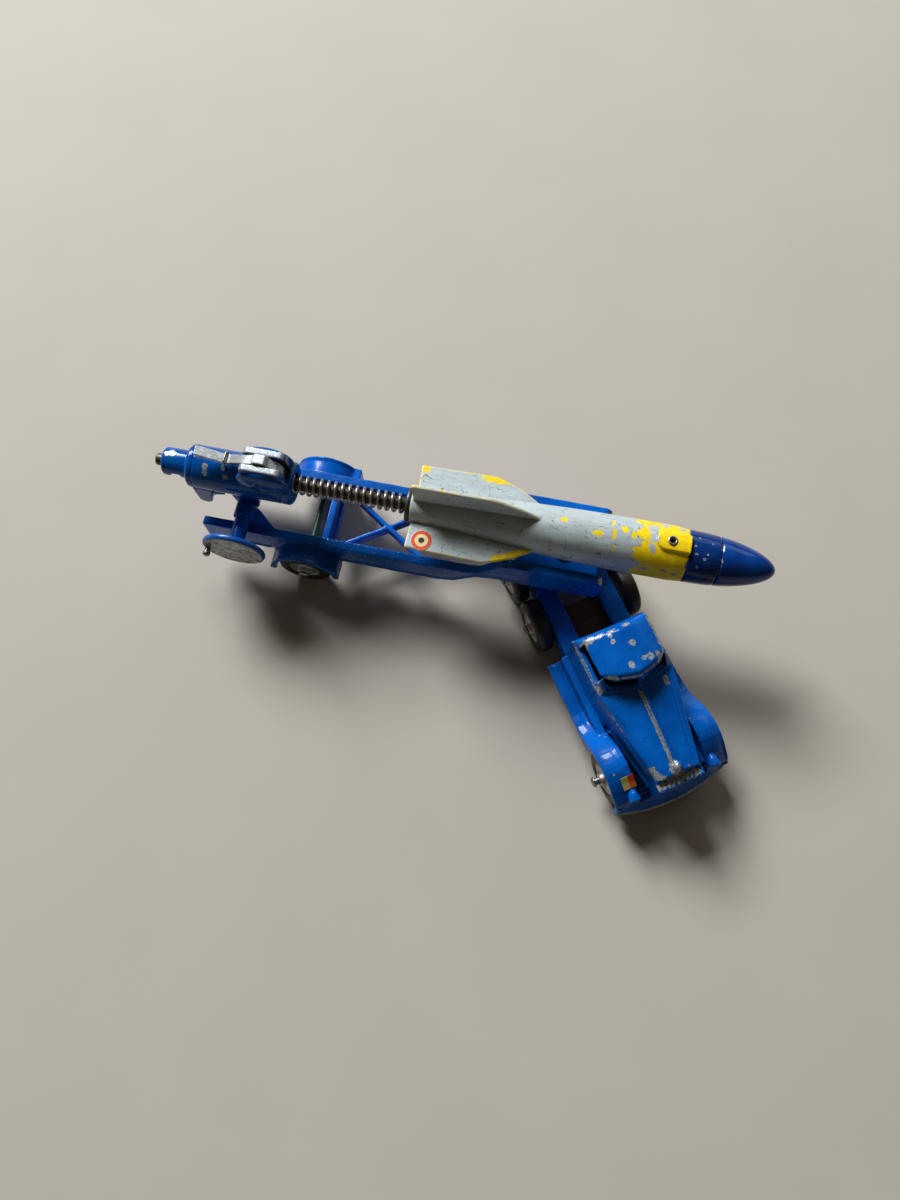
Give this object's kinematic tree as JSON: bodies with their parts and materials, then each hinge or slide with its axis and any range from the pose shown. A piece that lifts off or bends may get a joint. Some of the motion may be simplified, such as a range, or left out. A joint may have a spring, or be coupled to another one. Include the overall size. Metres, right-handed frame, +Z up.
{
  "type": "toy rocket launcher truck",
  "caption": "Die-cast toy: a spring-fired rocket on an elevating launcher trailer, coupled by a kingpin to a six-wheeled bonneted tractor.",
  "frame": {"origin": "on the ground below the middle of the whole object's box, with the tractor turned as stored", "axes": "+X along the trailer and rocket towards the nose, +Z up, +Y to the rocket's left"},
  "size_m": [0.2036, 0.1023, 0.0535],
  "materials": {
    "blue_casting": "worn gloss enamel",
    "steel": "dull zinc-plated",
    "dark_steel": "oil-darkened",
    "hub_metal": "turned",
    "tyre": "matte rubber",
    "wheel_metal": "blue enamel scraped to bare metal on the face",
    "rocket_grey": "chipped silver-grey over yellow",
    "band_paint": "chipped dark blue",
    "nose_paint": "glossy dark blue",
    "floor_metal": "red-brown undercoat",
    "sticker": "printed paper label"
  },
  "bodies": {
    "trailer": {"trailer_frame": "blue_casting", "trailer_axle": "steel", "kingpin": "steel", "kingpin_washer": "steel"},
    "launcher": {"launcher_casting": "blue_casting", "elevating_shaft": "blue_casting", "hand_wheel": "wheel_metal", "hand_wheel_peg": "dark_steel", "trigger_pin": "steel", "trigger_staple": "dark_steel"},
    "plunger": {"plunger_rod": "dark_steel", "pusher_flange": "dark_steel", "firing_spring": "steel"},
    "trigger": {"trigger_lever": "steel"},
    "rocket": {"rocket_body": "rocket_grey", "nose_band": "band_paint", "nose_tip": "nose_paint", "nose_eyelet": "steel", "roundel_sticker": "sticker"},
    "tractor": {"tractor_chassis": "blue_casting", "cab_casting": "blue_casting", "floor_plate": "floor_metal", "floor_rivet_front": "steel", "floor_rivet_rear": "steel", "front_axle_rod": "steel", "mid_axle_rod": "steel", "rear_axle_rod": "steel", "wing_sticker": "sticker"},
    "trailer_wheel_near": {"trailer_hub_near": "hub_metal", "trailer_tyre_near": "tyre"},
    "trailer_wheel_far": {"trailer_hub_far": "hub_metal", "trailer_tyre_far": "tyre"},
    "front_wheel_right": {"front_hub_right": "hub_metal", "front_tyre_right": "tyre"},
    "front_wheel_left": {"front_hub_left": "hub_metal", "front_tyre_left": "tyre"},
    "mid_wheel_right": {"mid_hub_right": "hub_metal", "mid_tyre_right": "tyre"},
    "mid_wheel_left": {"mid_hub_left": "hub_metal", "mid_tyre_left": "tyre"},
    "rear_wheel_right": {"rear_hub_right": "hub_metal", "rear_tyre_right": "tyre"},
    "rear_wheel_left": {"rear_hub_left": "hub_metal", "rear_tyre_left": "tyre"}
  },
  "joints": [
    {"name": "kingpin_turn", "type": "hinge", "parent": "trailer", "child": "tractor", "pos_m": [0.0364, 0.02964, 0], "axis": [0, 0, 1], "range_deg": [-34.6, 18]},
    {"name": "launcher_elevation", "type": "hinge", "parent": "trailer", "child": "launcher", "pos_m": [-0.0725, 0.02964, 0.0252], "axis": [0, -1, 0], "range_deg": [0, 45]},
    {"name": "plunger_draw", "type": "slide", "parent": "launcher", "child": "plunger", "axis": [-1, 0, 0], "range_m": [0, 0.022], "stiffness_N_per_m": 60, "springref_m": -0.004, "deforming": ["firing_spring"]},
    {"name": "trigger_rock", "type": "hinge", "parent": "launcher", "child": "trigger", "pos_m": [-0.0641, 0.02964, 0.0492], "axis": [0, -1, 0], "range_deg": [0, 6], "stiffness_Nm_per_rad": 0.004, "springref_deg": -5.73},
    {"name": "rocket_release", "type": "slide", "parent": "plunger", "child": "rocket", "axis": [1, 0, 0], "range_m": [0, 0.06]},
    {"name": "trailer_wheel_near_spin", "type": "hinge", "parent": "trailer", "child": "trailer_wheel_near", "pos_m": [-0.0512, 0.01303, 0.00925], "axis": [0, 1, 0], "continuous": true},
    {"name": "trailer_wheel_far_spin", "type": "hinge", "parent": "trailer", "child": "trailer_wheel_far", "pos_m": [-0.0512, 0.04623, 0.00925], "axis": [0, 1, 0], "continuous": true},
    {"name": "front_wheel_right_spin", "type": "hinge", "parent": "tractor", "child": "front_wheel_right", "pos_m": [0.06391, -0.03947, 0.00925], "axis": [0.8231, 0.5678, 0], "continuous": true},
    {"name": "front_wheel_left_spin", "type": "hinge", "parent": "tractor", "child": "front_wheel_left", "pos_m": [0.09123, -0.02062, 0.00925], "axis": [0.8231, 0.5678, 0], "continuous": true},
    {"name": "mid_wheel_right_spin", "type": "hinge", "parent": "tractor", "child": "mid_wheel_right", "pos_m": [0.03216, 0.00654, 0.00925], "axis": [0.8231, 0.5678, 0], "continuous": true},
    {"name": "mid_wheel_left_spin", "type": "hinge", "parent": "tractor", "child": "mid_wheel_left", "pos_m": [0.05949, 0.0254, 0.00925], "axis": [0.8231, 0.5678, 0], "continuous": true},
    {"name": "rear_wheel_right_spin", "type": "hinge", "parent": "tractor", "child": "rear_wheel_right", "pos_m": [0.02115, 0.02251, 0.00925], "axis": [0.8231, 0.5678, 0], "continuous": true},
    {"name": "rear_wheel_left_spin", "type": "hinge", "parent": "tractor", "child": "rear_wheel_left", "pos_m": [0.04847, 0.04137, 0.00925], "axis": [0.8231, 0.5678, 0], "continuous": true}
  ]
}
